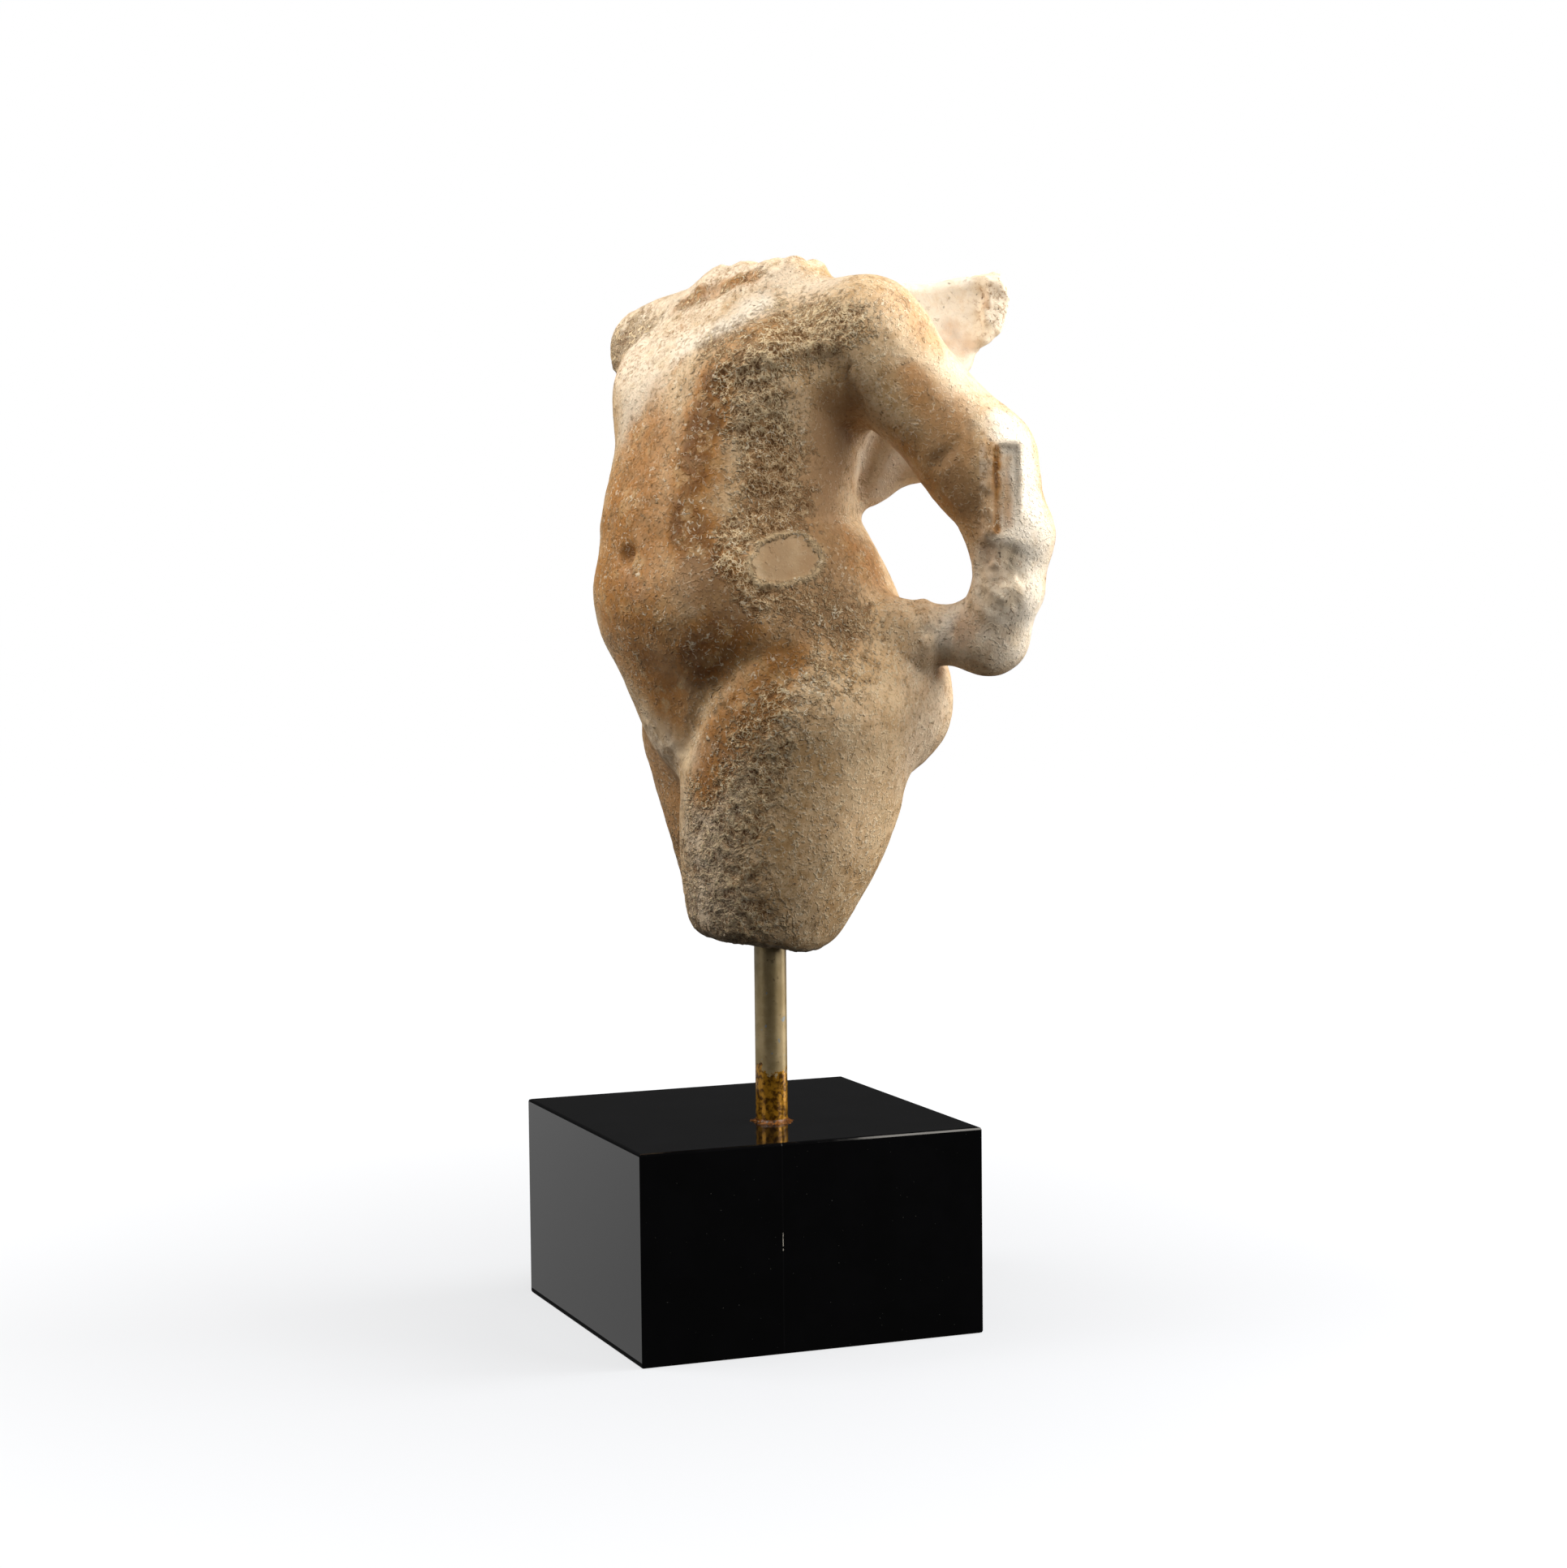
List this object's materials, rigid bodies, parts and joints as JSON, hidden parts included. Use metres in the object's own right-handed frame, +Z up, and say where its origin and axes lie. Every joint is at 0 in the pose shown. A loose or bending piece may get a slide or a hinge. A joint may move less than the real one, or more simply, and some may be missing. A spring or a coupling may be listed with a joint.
{
  "type": "marble torso sculpture",
  "caption": "Worn marble torso of a winged boy with one bent arm, broken at neck, shoulder, wing and thighs, on a metal rod above a polished black block.",
  "frame": {"origin": "middle of the block's underside", "axes": "+Z up; the block's sides face X and Y; the figure faces -Y, turned ten degrees towards its own left, which is +X"},
  "size_m": [0.133, 0.1335, 0.329],
  "materials": {
    "marble": "worn white marble with orange-brown patina and a rough grey-brown crust",
    "rod": "dull tarnished brass, varnished towards the foot",
    "block": "polished black stone"
  },
  "bodies": {
    "root": {"marble_torso": "marble", "support_rod": "rod", "base_block": "block"}
  },
  "joints": []
}
